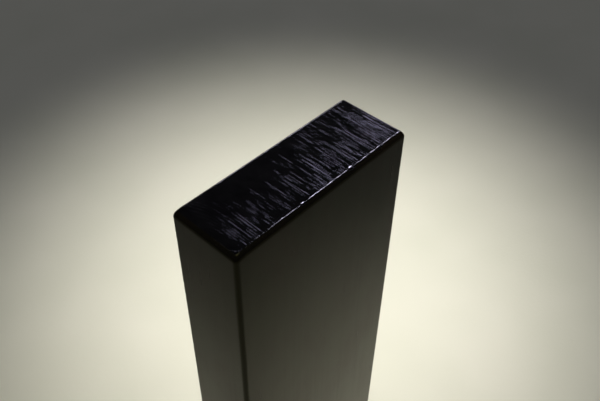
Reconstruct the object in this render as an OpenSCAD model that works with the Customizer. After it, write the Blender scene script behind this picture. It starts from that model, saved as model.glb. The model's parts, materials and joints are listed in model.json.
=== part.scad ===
// Ink stick: a bar of moulded soot-and-glue ink with a polished skin, ground flat on one end.
// It stands on its butt face, which holds the origin in its middle. X runs across the broad
// faces, Y through the thickness and Z along the stick to the ground end. Millimetres.

/* [Stick] */
// Width across a broad face
stick_w = 44; // [20:0.5:75]
// Thickness between the two broad faces
stick_d = 15.8; // [8:0.1:30]
// Length that is left, from the butt face to the ground face
stick_l = 140; // [40:1:240]

/* [Edges] */
// Radius of the four long edges
long_edge_r = 0.85; // [0.5:0.05:2]
// Radius of the rim round each end
rim_r = 1.23; // [0.8:0.01:2.5]

/* [Grinding and skin] */
// How far the ground face lies below the end as it was moulded, always more than the skin
wear = 0.08; // [0.07:0.01:0.5]
// Thickness of the polished skin
skin_t = 0.05; // [0.03:0.01:0.06]

/* [Hidden] */
$fn = 64;
moulded_l = stick_l + wear;
// Room round the bar for the block that grinds its end off
margin = 5;

// A rectangle with round corners, centred on the origin
module round_rectangle(width, height, r) {
    square([width - 2 * r, height], center = true);
    square([width, height - 2 * r], center = true);
    for (x = [-1, 1], y = [-1, 1])
        translate([x * (width / 2 - r), y * (height / 2 - r)])
            circle(r);
}

// The bar as it left the mould, with every face moved in by inset
module moulded_bar(inset = 0) {
    width = stick_w - 2 * inset;
    depth = stick_d - 2 * inset;
    height = moulded_l - 2 * inset;
    translate([0, 0, moulded_l / 2])
        intersection() {
            linear_extrude(height, center = true)
                round_rectangle(width, depth, long_edge_r - inset);
            rotate([90, 0, 0])
                linear_extrude(depth, center = true)
                    round_rectangle(width, height, rim_r - inset);
            rotate([90, 0, 90])
                linear_extrude(width, center = true)
                    round_rectangle(depth, height, rim_r - inset);
        }
}

// What the ink stone has taken off: everything above the ground face
module ground_off() {
    translate([-stick_w / 2 - margin, -stick_d / 2 - margin, stick_l])
        cube([stick_w + 2 * margin, stick_d + 2 * margin, wear + margin]);
}

// The moulded ink inside the skin, bare only on the ground face
module ink_body() {
    color([0.02, 0.02, 0.025])
        difference() {
            moulded_bar(skin_t);
            ground_off();
        }
}

// The polished skin: four sides, the rims and the butt end, open where the end was ground
module polished_skin() {
    color([0.05, 0.045, 0.035])
        difference() {
            moulded_bar();
            moulded_bar(skin_t);
            ground_off();
        }
}

ink_body();
polished_skin();
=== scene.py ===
import itertools
import json
import math

import bpy
import numpy as np
from mathutils import Matrix, Vector


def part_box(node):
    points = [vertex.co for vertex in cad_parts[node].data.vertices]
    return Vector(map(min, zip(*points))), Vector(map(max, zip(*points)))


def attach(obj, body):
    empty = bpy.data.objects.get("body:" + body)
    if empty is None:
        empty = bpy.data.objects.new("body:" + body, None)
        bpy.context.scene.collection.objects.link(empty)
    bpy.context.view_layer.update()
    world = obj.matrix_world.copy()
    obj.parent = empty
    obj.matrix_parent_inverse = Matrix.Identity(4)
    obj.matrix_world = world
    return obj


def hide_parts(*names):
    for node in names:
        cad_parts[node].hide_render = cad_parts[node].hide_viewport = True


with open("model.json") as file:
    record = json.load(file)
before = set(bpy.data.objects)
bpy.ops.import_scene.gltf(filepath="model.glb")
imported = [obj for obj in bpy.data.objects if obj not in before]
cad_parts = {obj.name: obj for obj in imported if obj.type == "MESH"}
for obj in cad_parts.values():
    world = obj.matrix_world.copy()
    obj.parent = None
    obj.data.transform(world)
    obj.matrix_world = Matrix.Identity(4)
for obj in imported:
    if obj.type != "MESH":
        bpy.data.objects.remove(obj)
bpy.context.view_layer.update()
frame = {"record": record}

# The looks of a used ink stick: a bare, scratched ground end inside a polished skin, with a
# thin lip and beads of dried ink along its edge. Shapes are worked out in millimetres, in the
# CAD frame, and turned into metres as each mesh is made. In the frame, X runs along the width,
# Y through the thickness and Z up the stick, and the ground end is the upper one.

MM = 0.001

# Sizes of the bar, from the frame
skin_low, skin_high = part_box("polished_skin")
WIDTH = (skin_high.x - skin_low.x) / MM
DEPTH = (skin_high.y - skin_low.y) / MM
LENGTH = frame["record"]["size"]["bbox_m"][2] / MM

# Roundings, as on the CAD solids
LONG_EDGE_R = 0.85
RIM_R = 1.23
WEAR = 0.08
# The skin's inner side, which is never seen, lies this far in, and the ink's sides a bit more
INSIDE_INSET = 0.30
INK_INSET = INSIDE_INSET + 0.1
# The rim's arc is cut off by the ground face at this inset from the sides
FLAT_INSET = RIM_R - math.sqrt(RIM_R**2 - (RIM_R - WEAR) ** 2)


# ---------------------------------------------------------------- noise and small helpers

# How many random values smooth_noise has along each axis before it repeats
NOISE_SIDE = 48


def smooth_noise(points, cell, seed):
    """Smooth noise from -1 to 1 at points (..., 3), with a random value at each cell corner."""
    table = np.random.default_rng(seed).uniform(-1.0, 1.0, (NOISE_SIDE,) * 3)
    place = points / np.asarray(cell, float)
    base = np.floor(place).astype(int)
    part = place - base
    part = part * part * (3.0 - 2.0 * part)
    total = np.zeros(points.shape[:-1])
    for corner in itertools.product((0, 1), repeat=3):
        index = (base + corner) % NOISE_SIDE
        weight = np.prod(np.where(corner, part, 1.0 - part), axis=-1)
        total += weight * table[index[..., 0], index[..., 1], index[..., 2]]
    return total


def flat_points(x, y):
    """Points of a plane, for smooth_noise."""
    return np.stack([x, y, np.zeros_like(x)], axis=-1)


def rise(value, low, high):
    """0 below low, 1 above high and smooth between. High may be the smaller one."""
    part = np.clip((value - low) / (high - low), 0.0, 1.0)
    return part * part * (3.0 - 2.0 * part)


def bell(value, half_width):
    """A smooth hump of height 1 about zero."""
    return np.exp(-((value / half_width) ** 2))


def tent(value, half_width):
    """A hump of height 1 about zero with straight sides."""
    return np.clip(1.0 - np.abs(value) / half_width, 0.0, 1.0)


def make_piece(name, points, faces, material):
    """A smooth mesh object from points in millimetres, riding on the one body."""
    mesh = bpy.data.meshes.new(name)
    mesh.from_pydata((np.asarray(points) * MM).tolist(), [], faces)
    mesh.validate()
    mesh.update()
    mesh.polygons.foreach_set("use_smooth", [True] * len(mesh.polygons))
    mesh.materials.append(material)
    piece = bpy.data.objects.new(name, mesh)
    bpy.context.scene.collection.objects.link(piece)
    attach(piece, "root")
    return piece


def ring_faces(count, low, high):
    """Faces that join two closed rings of count points, which start at low and high."""
    after = [*range(1, count), 0]
    return [(low + i, low + j, high + j, high + i) for i, j in enumerate(after)]


# ---------------------------------------------------------------- materials


def add_node(tree, kind, inputs=None, **settings):
    """A shader node, with its settings, its values and the links into it."""
    made = tree.nodes.new(kind)
    for name, value in settings.items():
        setattr(made, name, value)
    for socket, value in (inputs or {}).items():
        if isinstance(value, bpy.types.NodeSocket):
            tree.links.new(value, made.inputs[socket])
        else:
            made.inputs[socket].default_value = value
    return made


def new_shader(name):
    """A material with its tree, its shader node and a socket with the object's own metres."""
    material = bpy.data.materials.new(name)
    material.use_nodes = True
    tree = material.node_tree
    shader = tree.nodes["Principled BSDF"]
    place = add_node(tree, "ShaderNodeTexCoord").outputs["Object"]
    return material, tree, shader, place


def stretched_noise(tree, place, cell, detail=3.0, twist=0.0, turn=(0.0, 0.0, 0.0)):
    """Noise whose spots measure cell millimetres along X, Y and Z, after a turn in degrees."""
    per_metre = tuple(1.0 / (size * MM) for size in cell)
    turned = add_node(
        tree,
        "ShaderNodeMapping",
        {"Vector": place, "Rotation": tuple(math.radians(angle) for angle in turn)},
    )
    scaled = add_node(
        tree, "ShaderNodeMapping", {"Vector": turned.outputs["Vector"], "Scale": per_metre}
    )
    return add_node(
        tree,
        "ShaderNodeTexNoise",
        {
            "Vector": scaled.outputs["Vector"],
            "Scale": 1.0,
            "Detail": detail,
            "Roughness": 0.6,
            "Distortion": twist,
        },
    ).outputs["Fac"]


def remap(tree, value, low, high, to_low, to_high):
    """A value carried from one range to another, and held inside it."""
    return add_node(
        tree,
        "ShaderNodeMapRange",
        {"Value": value, "From Min": low, "From Max": high, "To Min": to_low, "To Max": to_high},
    ).outputs["Result"]


def combine(tree, operation, first, second):
    """Two values put together by a Math node."""
    return add_node(
        tree, "ShaderNodeMath", {0: first, 1: second}, operation=operation
    ).outputs["Value"]


def blend_colours(tree, share, first, second):
    """One colour going to another as share goes from 0 to 1."""
    return add_node(
        tree, "ShaderNodeMixRGB", {"Fac": share, "Color1": first, "Color2": second}
    ).outputs["Color"]


def bump(tree, height, depth_mm, normal=None):
    """A normal that follows a height from 0 to 1, which stands for depth_mm."""
    inputs = {"Height": height, "Distance": depth_mm * MM, "Strength": 1.0}
    if normal is not None:
        inputs["Normal"] = normal
    return add_node(tree, "ShaderNodeBump", inputs).outputs["Normal"]


def bare_ink_material():
    """Ground ink: near black, satin, with fine scratches along Y and a cool sheen."""
    material, tree, shader, place = new_shader("bare_ink")
    streak = stretched_noise(tree, place, (0.20, 9.0, 1.0), detail=1.0)
    hair = stretched_noise(tree, place, (0.12, 6.0, 1.0), detail=0.0, turn=(0, 0, 1))
    bundle = stretched_noise(tree, place, (2.4, 4.5, 4.0), detail=2.0)
    patch = stretched_noise(tree, place, (3.5, 4.5, 4.0), detail=2.0)
    grain = stretched_noise(tree, place, (0.09, 0.09, 0.09), detail=1.0)
    colour = blend_colours(
        tree,
        remap(tree, patch, 0.35, 0.7, 0.0, 1.0),
        (0.0007, 0.0007, 0.0009, 1.0),
        (0.0018, 0.0018, 0.0022, 1.0),
    )
    tree.links.new(colour, shader.inputs["Base Color"])
    streaky = remap(tree, streak, 0.3, 0.7, 0.11, 0.15)
    patchy = remap(tree, patch, 0.3, 0.7, -0.015, 0.02)
    tree.links.new(combine(tree, "ADD", streaky, patchy), shader.inputs["Roughness"])
    across = add_node(tree, "ShaderNodeSeparateXYZ", {"Vector": place}).outputs["Y"]
    front = remap(tree, across, 4.5 * MM, -1.0 * MM, 0.55, 1.0)
    share = combine(tree, "MULTIPLY", front, remap(tree, bundle, 0.38, 0.66, 0.3, 1.0))
    streaks = combine(tree, "MULTIPLY", share, remap(tree, streak, 0.58, 0.74, 0.0, 1.0))
    hairs = combine(tree, "MULTIPLY", share, remap(tree, hair, 0.60, 0.72, 0.0, 1.0))
    normal = bump(tree, streaks, 0.022)
    normal = bump(tree, hairs, 0.008, normal)
    normal = bump(tree, grain, 0.0010, normal)
    tree.links.new(normal, shader.inputs["Normal"])
    shader.inputs["IOR"].default_value = 1.5
    shader.inputs["Specular Tint"].default_value = (0.84, 0.81, 1.0, 1.0)
    return material


def polished_ink_material():
    """The burnished skin: dark brownish black, glossy, with faint rubbing marks along Z."""
    material, tree, shader, place = new_shader("polished_ink")
    rubbing = stretched_noise(tree, place, (0.5, 0.5, 45.0), detail=4.0, twist=0.15)
    smudge = stretched_noise(tree, place, (9.0, 9.0, 14.0), detail=3.0, twist=0.6)
    fine = stretched_noise(tree, place, (0.25, 0.25, 0.25), detail=2.0)
    scuff = stretched_noise(tree, place, (0.12, 0.12, 5.0), detail=2.0, turn=(38, 0, 0))
    colour = blend_colours(
        tree,
        remap(tree, smudge, 0.35, 0.7, 0.0, 1.0),
        (0.0016, 0.0015, 0.0013, 1.0),
        (0.0032, 0.0025, 0.0020, 1.0),
    )
    tree.links.new(colour, shader.inputs["Base Color"])
    rough = remap(tree, rubbing, 0.3, 0.7, 0.15, 0.25)
    rough = combine(tree, "ADD", rough, remap(tree, smudge, 0.3, 0.7, -0.04, 0.05))
    tree.links.new(rough, shader.inputs["Roughness"])
    normal = bump(tree, rubbing, 0.0028)
    normal = bump(tree, fine, 0.0012, normal)
    normal = bump(tree, remap(tree, scuff, 0.66, 0.72, 0.0, 1.0), 0.0012, normal)
    tree.links.new(normal, shader.inputs["Normal"])
    shader.inputs["IOR"].default_value = 1.42
    tint = blend_colours(
        tree,
        remap(tree, smudge, 0.4, 0.65, 0.0, 1.0),
        (1.0, 0.98, 0.36, 1.0),
        (1.0, 0.80, 0.30, 1.0),
    )
    tree.links.new(tint, shader.inputs["Specular Tint"])
    return material


def floor_material():
    """A pale, slightly warm sheet with a soft tooth."""
    material, tree, shader, place = new_shader("pale_floor")
    tooth = stretched_noise(tree, place, (1.2, 1.2, 1.2), detail=4.0)
    cloud = stretched_noise(tree, place, (60.0, 60.0, 60.0), detail=2.0)
    colour = blend_colours(
        tree,
        remap(tree, cloud, 0.3, 0.7, 0.0, 1.0),
        (0.74, 0.75, 0.68, 1.0),
        (0.80, 0.80, 0.74, 1.0),
    )
    tree.links.new(colour, shader.inputs["Base Color"])
    tree.links.new(bump(tree, tooth, 0.05), shader.inputs["Normal"])
    shader.inputs["Roughness"].default_value = 0.8
    return material


# ---------------------------------------------------------------- the polished skin

# How many spans a ring has on each broad side, each narrow side and each corner
BROAD_SPANS = 212
NARROW_SPANS = 70
CORNER_SPANS = 8
# How much the outline's corners tighten as it moves inward over a rim
CORNER_TIGHTENING = 0.6
# The skin's rings lie closer together over this length below the ground end
DENSE_END = 9


def outline(inset):
    """One turn round the bar at an inset from its sides, as (x, y) points, from the front left."""
    radius = LONG_EDGE_R - CORNER_TIGHTENING * inset
    half_x = WIDTH / 2 - inset - radius
    half_y = DEPTH / 2 - inset - radius
    sides = [
        ((-half_x, -half_y), (half_x, -half_y), BROAD_SPANS, -90),
        ((half_x, -half_y), (half_x, half_y), NARROW_SPANS, 0),
        ((half_x, half_y), (-half_x, half_y), BROAD_SPANS, 90),
        ((-half_x, half_y), (-half_x, -half_y), NARROW_SPANS, 180),
    ]
    turn = []
    for start, end, spans, facing in sides:
        out = np.array([math.cos(math.radians(facing)), math.sin(math.radians(facing))])
        share = np.linspace(0, 1, spans, endpoint=False)[:, None]
        turn.append(np.array(start) * (1 - share) + np.array(end) * share + radius * out)
        angles = np.radians(facing + np.linspace(0, 90, CORNER_SPANS, endpoint=False))
        turn.append(np.array(end) + radius * np.stack([np.cos(angles), np.sin(angles)], -1))
    return np.concatenate(turn)


def rim_arc(start_degrees, end_degrees, steps):
    """Insets and heights along a rim's arc. 0 degrees is the side and 90 the end's plane."""
    angles = np.radians(np.linspace(start_degrees, end_degrees, steps))
    return list(zip(RIM_R - RIM_R * np.cos(angles), RIM_R * np.sin(angles)))


def skin_profile():
    """The skin's outside from the butt face to the mouth, as (inset, height) pairs."""
    butt = [(inset, RIM_R - up) for inset, up in rim_arc(90, 0, 9)]
    rim_start = LENGTH + WEAR - RIM_R
    dense_from = LENGTH - DENSE_END
    lower = np.linspace(RIM_R, dense_from, 60)[1:]
    upper = np.linspace(dense_from, rim_start, 24)[1:-1]
    side = [(0.0, height) for height in (*lower, *upper)]
    last = math.degrees(math.asin((RIM_R - WEAR) / RIM_R))
    top = [(inset, rim_start + up) for inset, up in rim_arc(0, last - 0.5, 13)]
    top += [(inset, rim_start + up) for inset, up in rim_arc(last, last, 1)]
    return butt + side + top


def skin_unevenness(points, towards):
    """How far the skin stands out at each point: slow waves, rubbing marks and worn edges."""
    waves = 0.030 * smooth_noise(points, (15, 15, 26), 11)
    waves += 0.008 * smooth_noise(points, (5, 5, 9), 12)
    rubbing = 0.0025 * smooth_noise(points, (1.3, 1.3, 70), 13)
    edge = np.abs(towards[:, 0] * towards[:, 1]) * 2 + np.abs(towards[:, 2])
    nicks = -0.030 * rise(smooth_noise(points, (0.5, 0.5, 0.9), 14), 0.35, 0.9)
    sag = -0.06 * (1 - (2 * points[:, 0] / WIDTH) ** 2) * np.abs(towards[:, 1])
    return waves + rubbing + sag + np.clip(edge, 0, 1) * nicks


# The rolled left end: how far in from the end it starts, and how far down it goes
ROLL_LENGTH = 2.8
ROLL_DROP = 0.26


def end_drop(points):
    """How far the left end sits lower, where the stick was rolled on its end as it was ground."""
    near_end = rise(points[..., 0], -WIDTH / 2 + ROLL_LENGTH, -WIDTH / 2) ** 2
    return -ROLL_DROP * near_end * rise(points[..., 2], LENGTH - 2.5, LENGTH - 0.3)


# Small chips in the rim just below the front lip: place along it from 0 to 1, size, depth
RIM_CHIPS = [(0.045, 0.5, 0.07), (0.21, 0.35, 0.06), (0.25, 0.4, 0.08), (0.30, 0.3, 0.05)]


def rim_chips(points):
    """How far the chips below the front lip cut into the rim."""
    cut = np.zeros(len(points))
    for share, size, depth in RIM_CHIPS:
        centre = np.array([(share - 0.5) * WIDTH, -DEPTH / 2 + 0.45, LENGTH - 0.2])
        away = np.linalg.norm((points - centre) / (size, 0.5, 0.45), axis=1)
        cut = np.maximum(cut, depth * rise(away, 1.0, 0.2))
    return -cut


def skin_piece(material):
    """The skin as a closed shell, open where the end was ground."""
    profile = skin_profile()
    rings = []
    for row, (inset, height) in enumerate(profile):
        ring = outline(inset)
        before = profile[max(row - 1, 0)]
        after = profile[min(row + 1, len(profile) - 1)]
        run = Vector((before[0] - after[0], after[1] - before[1])).normalized()
        flat = np.roll(ring, -1, axis=0) - np.roll(ring, 1, axis=0)
        flat /= np.linalg.norm(flat, axis=1)[:, None]
        level = np.full(len(ring), height)
        towards = np.stack([flat[:, 1] * run.y, -flat[:, 0] * run.y], -1)
        towards = np.column_stack([towards, np.full(len(ring), -run.x)])
        points = np.column_stack([ring, level])
        push = skin_unevenness(points, towards) + rim_chips(points)
        push *= rise(height, 0.0, RIM_R)
        moved = points + towards * push[:, None]
        moved[:, 2] = np.clip(moved[:, 2], 0.0, LENGTH)
        moved[:, 2] += end_drop(moved)
        rings.append((moved, towards))
    count = len(rings[0][0])
    outside = [moved for moved, _ in rings]
    inner = [(FLAT_INSET + 0.02, LENGTH - 0.02), (FLAT_INSET + 0.05, LENGTH - 0.12)]
    inner += [(INSIDE_INSET, LENGTH - RIM_R), (INSIDE_INSET, RIM_R), (RIM_R, INSIDE_INSET)]
    inside = [np.column_stack([outline(inset), np.full(count, height)]) for inset, height in inner]
    for ring in inside:
        ring[:, 2] += end_drop(ring)
    layers = outside + inside
    faces = []
    for row in range(len(layers) - 1):
        faces += ring_faces(count, row * count, (row + 1) * count)
    faces.append(tuple(reversed(range(count))))
    last = (len(layers) - 1) * count
    faces.append(tuple(range(last, last + count)))
    return make_piece("burnished_skin", np.concatenate(layers), faces, material)


# ---------------------------------------------------------------- the ground end

# Where the bare ink begins, just inside the skin's edge, and how round its corners are
BARE_INSET = FLAT_INSET + 0.005
BARE_X = WIDTH / 2 - BARE_INSET
BARE_Y = DEPTH / 2 - BARE_INSET
BARE_CORNER = 0.4
# The grid's steps: in a band along the edges, and inside it along X and along Y
EDGE_BAND = 0.42
EDGE_STEP = 0.035
STEP_X = 0.043
STEP_Y = 0.24


def graded(half, edge, fine, coarse):
    """Grid lines from -half to half, close together within edge of both ends."""
    inner = half - edge
    middle = np.linspace(-inner, inner, round(2 * inner / coarse) + 1)
    outer = np.linspace(inner, half, round(edge / fine) + 1)[1:]
    return np.concatenate([-outer[::-1], middle, outer])


def round_corners(x, y):
    """Moves the grid's points near its four corners so that its outline is round there."""
    in_x = BARE_X - BARE_CORNER
    in_y = BARE_Y - BARE_CORNER
    a = np.clip((np.abs(x) - in_x) / BARE_CORNER, 0, 1)
    b = np.clip((np.abs(y) - in_y) / BARE_CORNER, 0, 1)
    near = (a > 0) & (b > 0)
    round_x = np.sign(x) * (in_x + BARE_CORNER * a * np.sqrt(1 - b * b / 2))
    round_y = np.sign(y) * (in_y + BARE_CORNER * b * np.sqrt(1 - a * a / 2))
    return np.where(near, round_x, x), np.where(near, round_y, y)


# Scratches: how many, half width from and to, height against half width (below 0 for a groove)
# from and to, length from and to
SCRATCH_SORTS = [
    (50, 0.080, 0.110, -0.43, -0.16, 6.0, 12.0),
    (170, 0.055, 0.080, -0.50, -0.18, 3.0, 8.0),
    (90, 0.055, 0.080, 0.15, 0.44, 3.0, 7.0),
]
# How many fine scratches lie anywhere on the face
FINE_SCRATCHES = 130


def long_scratches(x, y, random):
    """Nearly parallel scratches and scored ridges from the front lip towards the back."""
    height = np.zeros_like(x)
    for count, narrow, wide, deepest, highest, short, long in SCRATCH_SORTS:
        for _ in range(count):
            start = BARE_X * (2 * random.uniform() ** 0.66 - 1)
            tilt = random.normal(0.0, 0.0035)
            half_width = random.uniform(narrow, wide)
            deep = half_width * random.uniform(deepest, highest)
            near_end = -BARE_Y + random.exponential(2.4)
            far_end = near_end + random.uniform(short, long)
            line = start + tilt * (y + BARE_Y)
            ends = rise(y, near_end - 0.4, near_end + 0.4) * rise(y, far_end + 1.8, far_end - 1.8)
            height += deep * tent(x - line, half_width) * ends
    return height


def fine_scratches(x, y, random):
    """Thin faint scratches along Y that lie anywhere on the face."""
    height = np.zeros_like(x)
    for _ in range(FINE_SCRATCHES):
        line = BARE_X * random.uniform(-0.93, 0.95) + random.normal(0.0, 0.004) * y
        half_width = random.uniform(0.050, 0.070)
        deep = half_width * random.uniform(-0.43, -0.28)
        middle = BARE_Y * random.uniform(-1.0, 1.0)
        half_length = random.uniform(0.9, 3.2)
        ends = rise(np.abs(y - middle), half_length + 0.5, half_length - 0.5)
        height += deep * tent(x - line, half_width) * ends
    return height


def streak_field(x, y):
    """Faint ridges that lie along Y and sway a little with it."""
    sway = 0.3 * smooth_noise(flat_points(x, y), (9, 7, 1), 21)
    swayed = flat_points(x + sway, y)
    height = 0.004 * smooth_noise(swayed, (0.20, 4.5, 1), 22)
    height += 0.005 * smooth_noise(swayed, (0.5, 7.0, 1), 23)
    height += 0.006 * smooth_noise(swayed, (1.9, 9.0, 1), 24)
    return height


def end_ripples(x, y):
    """Curved ripples round the left end, where the stick rolled on its corner."""
    reach = np.hypot((x + 24.0) * 1.15, (y + 4.0) * 0.5)
    phase = reach / 0.30 + 1.1 * smooth_noise(flat_points(x, y), (2.2, 4.0, 1), 31)
    fade = rise(x, -12.5, -16.5) * rise(x, -BARE_X + 0.9, -BARE_X + 2.0)
    broken = 0.75 + 0.5 * smooth_noise(flat_points(x, y), (1.6, 2.6, 1), 32)
    return 0.032 * np.sin(phase * math.pi) * fade * np.clip(broken, 0.0, 1.0)


def swirls(x, y):
    """Short marks that cross the others, from turning the stick."""
    turned = flat_points(0.75 * x + 0.66 * y, 0.75 * y - 0.66 * x)
    height = 0.018 * smooth_noise(turned, (0.26, 1.8, 1), 33)
    turned = flat_points(0.80 * x - 0.60 * y, 0.80 * y + 0.60 * x)
    height += 0.015 * smooth_noise(turned, (0.26, 1.5, 1), 34)
    return height


# Patches of small pits, two by the front lip and one at the back left: middle x and y, half
# length, half width
PIT_PATCHES = [(-1.4, -5.5, 1.9, 1.1), (4.5, -5.3, 1.5, 1.0), (-19.3, 5.0, 1.2, 1.3)]


def pits(x, y):
    """Rough patches where grains broke out."""
    rough = smooth_noise(flat_points(x, y), (0.26, 0.30, 1), 41)
    rough += 0.6 * smooth_noise(flat_points(x, y), (0.13, 0.14, 1), 42)
    height = np.zeros_like(x)
    for mid_x, mid_y, half_x, half_y in PIT_PATCHES:
        here = bell(np.hypot((x - mid_x) / half_x, (y - mid_y) / half_y), 1.0)
        height += 0.035 * rough * here
    return height


# The hooked scratch: the middle and the radius of its arc
HOOK_X = 11.7
HOOK_Y = -5.6
HOOK_R = 1.15


def from_hook_arc(x, y):
    """How far a place lies outside the hooked scratch's circle."""
    return np.hypot(x - HOOK_X, y - HOOK_Y) - HOOK_R


def hook_scratch(x, y):
    """One small curved ridge, the raised edge of a hooked scratch near the front lip."""
    tall = 0.048 - 0.014 * (y - HOOK_Y) / HOOK_R
    return tall * tent(from_hook_arc(x, y), 0.14) * rise(x, HOOK_X + 0.3, HOOK_X)


# How far in from the edge the lip's crest lies
LIP_IN = 0.13
# Beads of dried ink on the lip: place along it from 0 to 1, half length, width
FRONT_BEADS = [
    (0.205, 0.20, 0.20),
    (0.262, 0.34, 0.26),
    (0.300, 0.20, 0.18),
    (0.375, 0.70, 0.46),
    (0.448, 0.40, 0.30),
    (0.510, 0.24, 0.24),
    (0.562, 0.34, 0.30),
    (0.610, 0.36, 0.26),
    (0.658, 1.10, 0.64),
    (0.765, 0.30, 0.26),
    (0.832, 1.15, 0.43),
    (0.955, 0.42, 0.26),
]
BACK_BEADS = [(0.515, 0.40, 0.34), (0.83, 0.30, 0.24), (0.975, 0.35, 0.34)]


def lip(from_edge, inner_width, slope):
    """A lip that climbs from the edge and then slopes straight down over its inner width."""
    down = np.clip(1.0 - (from_edge - LIP_IN) / inner_width, 0.0, 1.0)
    shape = np.where(from_edge < LIP_IN, rise(from_edge, -0.02, LIP_IN), down)
    return slope * inner_width * shape


def widened(width, x, beads):
    """A lip's inner width, swollen where beads dried on it."""
    for share, long, wide in beads:
        along = (x - (share - 0.5) * WIDTH) / long
        width = np.maximum(width, wide * np.exp(-np.abs(along) ** 3))
    return width


def lip_height(x, y):
    """The raised lip: strong along the front, fainter along the back and at the right end."""
    along = flat_points(x, y)
    uneven = 1.0 + 0.35 * smooth_noise(along, (0.9, 9.0, 1), 51)
    uneven += 0.30 * smooth_noise(along, (2.6, 9.0, 1), 52)
    front_width = (0.10 + 0.13 * rise(x, -12.0, 5.0) + 0.05 * rise(x, 14.0, 20.0)) * uneven
    front_width = widened(front_width, x, FRONT_BEADS)
    front_slope = 0.42 * rise(x, -18.9, -17.6)
    front_slope = front_slope * (1.0 + 0.12 * smooth_noise(along, (1.2, 9.0, 1), 53))
    height = lip(y + BARE_Y, front_width, front_slope)
    back_width = widened(0.16 * uneven, x, BACK_BEADS)
    height = np.maximum(height, lip(BARE_Y - y, back_width, 0.26 * rise(x, -17.0, -9.0)))
    return np.maximum(height, lip(BARE_X - x, 0.18, 0.12))


def ground_height(x, y):
    """The ground face's height over its plane, all marks together."""
    random = np.random.default_rng(2024)
    front_share = rise(y, 3.0, -1.5)
    strength = 0.36 + 0.64 * front_share
    strength *= 0.64 + 0.32 * rise(x, -9.0, 6.0)
    patchy = 0.9 + 0.35 * smooth_noise(flat_points(x, y), (3.4, 8.0, 1), 20)
    marks = (long_scratches(x, y, random) + streak_field(x, y)) * strength * patchy
    back_share = np.clip(1 - front_share + 0.5 * rise(x, 12.0, 17.0), 0, 1)
    marks += swirls(x, y) * back_share * (0.3 + 0.7 * rise(x, 4.0, 12.0))
    marks += fine_scratches(x, y, random)
    marks *= 1.0 - 0.7 * bell(from_hook_arc(x, y), 0.35)
    marks += end_ripples(x, y) + pits(x, y) + hook_scratch(x, y)
    from_edge = np.minimum(BARE_X - np.abs(x), BARE_Y - np.abs(y))
    marks *= rise(from_edge, 0.0, 0.35)
    crown = 0.06 * (1 - (x / BARE_X) ** 2) * (1 - (y / BARE_Y) ** 2)
    rolled = end_drop(np.stack([x, y, np.full_like(x, LENGTH)], axis=-1))
    dip = -0.006 * rise(from_edge, 0.05, 0.0)
    return marks + crown + rolled + dip + lip_height(x, y)


def ink_piece(material):
    """The ink: a finely gridded ground face, and plain sides inside the skin."""
    lines_x = graded(BARE_X, EDGE_BAND, EDGE_STEP, STEP_X)
    lines_y = graded(BARE_Y, EDGE_BAND, EDGE_STEP, STEP_Y)
    x, y = np.meshgrid(lines_x, lines_y, indexing="ij")
    x, y = round_corners(x, y)
    top = np.stack([x, y, LENGTH + ground_height(x, y)], axis=-1)
    across, deep = x.shape
    index = np.arange(across * deep).reshape(across, deep)
    faces = np.stack([index[:-1, :-1], index[1:, :-1], index[1:, 1:], index[:-1, 1:]], -1)
    faces = faces.reshape(-1, 4).tolist()
    edge = [*index[:, 0], *index[-1, 1:], *index[-2::-1, -1], *index[0, -2:0:-1]]
    edge_points = top.reshape(-1, 3)[edge]
    flat = np.roll(edge_points, -1, axis=0) - np.roll(edge_points, 1, axis=0)
    out = np.stack([flat[:, 1], -flat[:, 0], np.zeros(len(flat))], -1)
    out /= np.linalg.norm(out, axis=1)[:, None]
    points = [top.reshape(-1, 3)]
    low = np.array(edge)
    start = across * deep
    inner = [(BARE_INSET + 0.07, LENGTH - 0.35), (INK_INSET, LENGTH - RIM_R - 0.2)]
    inner += [(INK_INSET, RIM_R), (RIM_R, INK_INSET)]
    for inset, height in inner:
        ring = edge_points + out * (BARE_INSET - inset)
        ring[:, 2] = height
        points.append(ring)
    count = len(edge)
    after = [*range(1, count), 0]
    faces += [(low[j], low[i], start + i, start + j) for i, j in enumerate(after)]
    for row in range(len(points) - 2):
        upper = start + row * count
        faces += [tuple(reversed(face)) for face in ring_faces(count, upper, upper + count)]
    last = start + (len(points) - 2) * count
    faces.append(tuple(reversed(range(last, last + count))))
    faces = [tuple(int(corner) for corner in face) for face in faces]
    return make_piece("ground_ink", np.concatenate(points), faces, material)


# A drop's half width and half height against its bead's width
DROP_WIDE = 0.60
DROP_HIGH = 0.22
# Loose crumbs round the near corner: x and y from the corner, half size
CORNER_CRUMBS = [(1.10, 1.25, 0.24), (1.60, 0.98, 0.19), (1.02, 1.75, 0.15), (2.10, 0.95, 0.13)]


def bead(centre, halves, seed):
    """One uneven drop as points and faces, numbered from 0."""
    around, up = 20, 12
    angles = np.linspace(0, 2 * math.pi, around, endpoint=False)
    levels = np.linspace(-math.pi / 2, math.pi / 2, up + 1)[1:-1]
    circle = np.stack([np.cos(angles), np.sin(angles)], -1)
    rings = [
        np.column_stack([circle * math.cos(lift), np.full(around, math.sin(lift))])
        for lift in levels
    ]
    ball = np.concatenate([*rings, [[0, 0, -1], [0, 0, 1]]])
    swell = 1 + 0.22 * smooth_noise(ball + seed, (0.9, 0.9, 0.9), 60 + seed)
    points = ball * swell[:, None] * halves + centre
    faces = []
    for row in range(len(levels) - 1):
        faces += ring_faces(around, row * around, (row + 1) * around)
    bottom, top = len(ball) - 2, len(ball) - 1
    last = (len(levels) - 1) * around
    after = [*range(1, around), 0]
    faces += [(j, i, bottom) for i, j in enumerate(after)]
    faces += [(last + i, last + j, top) for i, j in enumerate(after)]
    return points, faces


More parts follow.
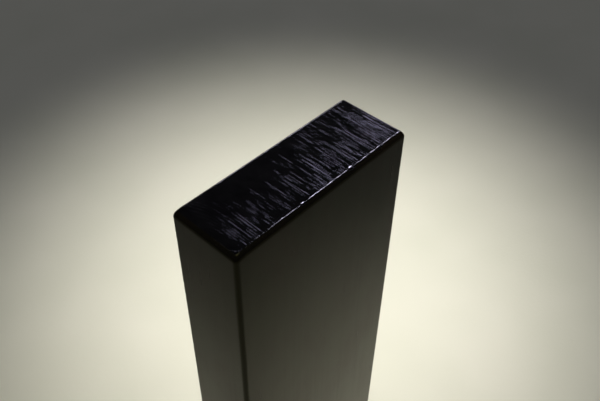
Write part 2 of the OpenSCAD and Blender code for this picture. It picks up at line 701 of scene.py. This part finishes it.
def beads_piece(material):
    """All the dried drops and crumbs along the ground end's edge."""
    drops = []
    for share, long, wide in FRONT_BEADS:
        place = ((share - 0.5) * WIDTH, -BARE_Y + LIP_IN - 0.2 * wide, LENGTH + 0.01)
        drops.append((place, (long, DROP_WIDE * wide, DROP_HIGH * wide)))
    for share, long, wide in BACK_BEADS:
        place = ((share - 0.5) * WIDTH, BARE_Y - LIP_IN, LENGTH + 0.01)
        drops.append((place, (long, DROP_WIDE * wide, DROP_HIGH * wide)))
    for from_left, from_front, size in CORNER_CRUMBS:
        place = (from_left - WIDTH / 2, from_front - DEPTH / 2, LENGTH + 0.02)
        drops.append((place, (size, size * 0.9, size * 0.4)))
    points, faces = [], []
    for seed, (place, halves) in enumerate(drops):
        first = sum(len(group) for group in points)
        drop_points, drop_faces = bead(np.array(place), np.array(halves), seed)
        points.append(drop_points)
        faces += [tuple(first + corner for corner in face) for face in drop_faces]
    return make_piece("dried_beads", np.concatenate(points), faces, material)


# ---------------------------------------------------------------- camera, floor and light

# The camera: its place in widths of the stick, its turns in degrees and its lens in millimetres
EYE_OVER_END = 2.0
EYE_RIGHT_OF_CORNER = -0.226
EYE_BEHIND_CORNER = 1.741
HEADING = 42.62
PITCH = 44.32
ROLL = 0.74
LENS = 44.66


def make_camera():
    """A camera that looks down past the near corner of the ground end."""
    heading = math.radians(HEADING)
    ahead = Vector((math.cos(heading), math.sin(heading), 0))
    right = Vector((math.sin(heading), -math.cos(heading), 0))
    corner = Vector((-WIDTH / 2, -DEPTH / 2, LENGTH))
    eye = corner - WIDTH * (EYE_RIGHT_OF_CORNER * right + EYE_BEHIND_CORNER * ahead)
    eye.z += WIDTH * EYE_OVER_END
    pitch = math.radians(PITCH)
    look = math.cos(pitch) * ahead - math.sin(pitch) * Vector((0, 0, 1))
    up = right.cross(look)
    turn = Matrix((right, up, -look)).transposed().to_4x4()
    data = bpy.data.cameras.new("camera")
    data.sensor_width = 36.0
    data.lens = LENS
    data.clip_start = 0.005
    camera = bpy.data.objects.new("camera", data)
    camera.matrix_world = (
        Matrix.Translation(eye * MM) @ turn @ Matrix.Rotation(math.radians(ROLL), 4, "Z")
    )
    bpy.context.scene.collection.objects.link(camera)
    bpy.context.scene.camera = camera


# The floor: its half width, and how far above the butt face it lies, so that the butt shows
# from below
FLOOR_HALF = 6000
FLOOR_LIFT = 0.02


def make_floor():
    """A wide pale floor at the butt face."""
    mesh = bpy.data.meshes.new("floor")
    half, level = FLOOR_HALF * MM, FLOOR_LIFT * MM
    corners = [(x * half, y * half, level) for x, y in ((-1, -1), (1, -1), (1, 1), (-1, 1))]
    mesh.from_pydata(corners, [], [(0, 1, 2, 3)])
    mesh.materials.append(floor_material())
    floor = bpy.data.objects.new("floor", mesh)
    bpy.context.scene.collection.objects.link(floor)


def place_lamp(name, kind, place, target):
    """A lamp at a place, in millimetres, pointed at a target and not seen itself."""
    data = bpy.data.lights.new(name, kind)
    lamp = bpy.data.objects.new(name, data)
    lamp.location = Vector(place) * MM
    lamp.rotation_euler = (Vector(target) - Vector(place)).to_track_quat("-Z", "Y").to_euler()
    lamp.visible_camera = False
    bpy.context.scene.collection.objects.link(lamp)
    return lamp


# How far the panels stand from the ground end, and how widely they shine, in degrees
PANEL_AWAY = 500
PANEL_SPREAD = 30


def make_panel(name, azimuth, elevation, size, power, colour):
    """A cool panel that lights the ground end, at degrees round from +X and up from level."""
    turn, lift = math.radians(azimuth), math.radians(elevation)
    level = Vector((math.cos(turn), math.sin(turn), 0))
    towards = math.cos(lift) * level + math.sin(lift) * Vector((0, 0, 1))
    end = Vector((0, 0, LENGTH))
    panel = place_lamp(name, "AREA", end + PANEL_AWAY * towards, end).data
    panel.shape = "RECTANGLE"
    panel.size = size[0] * MM
    panel.size_y = size[1] * MM
    panel.spread = math.radians(PANEL_SPREAD)
    panel.energy = power
    panel.color = colour


# Where the lamps of both pools hang
POOL_LAMP = (-60, -60, 900)


def make_pool(name, middle, radius, power, colour):
    """A soft round pool of light on the floor that leaves no highlight on the stick."""
    lamp = place_lamp(name, "SPOT", POOL_LAMP, middle)
    lamp.visible_glossy = False
    pool = lamp.data
    pool.energy = power
    pool.color = colour
    pool.spot_size = 2 * math.atan(radius / POOL_LAMP[2])
    pool.spot_blend = 0.8
    pool.shadow_soft_size = 0.06


def make_softbox(name, height, side, power):
    """A wide square lamp on the Z axis, pointed at the floor."""
    softbox = place_lamp(name, "AREA", (0, 0, height), (0, 0, 0)).data
    softbox.size = side
    softbox.energy = power


# The dim light from all round
ROOM_COLOUR = (0.024, 0.024, 0.025, 1.0)


def make_lights():
    """Pools on the floor, panels for the ground end, softboxes above and below, a dim room."""
    make_pool("main_pool", (76, 62, 0), 134, 38.0, (1.0, 0.96, 0.85))
    make_pool("skirt", (-26, 6, 0), 150, 3.2, (1.0, 0.93, 0.62))
    make_panel("lip_panel", 57, 8, (175, 70), 0.0165, (0.86, 0.84, 1.0))
    make_panel("scratch_panel", 29, 15, (110, 110), 0.0062, (0.76, 0.74, 1.0))
    make_softbox("overhead", 2600, 1.5, 6.6)
    make_softbox("under_floor", -1500, 3.0, 14.0)
    world = bpy.data.worlds.new("dark_room")
    world.use_nodes = True
    background = world.node_tree.nodes["Background"]
    background.inputs["Color"].default_value = ROOM_COLOUR
    bpy.context.scene.world = world
    bpy.context.scene.view_settings.view_transform = "Standard"


# ---------------------------------------------------------------- the scene

make_camera()
make_floor()
make_lights()
bare_ink = bare_ink_material()
skin = skin_piece(polished_ink_material())
ink = ink_piece(bare_ink)
beads_piece(bare_ink)
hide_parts("polished_skin")
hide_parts("ink_body")
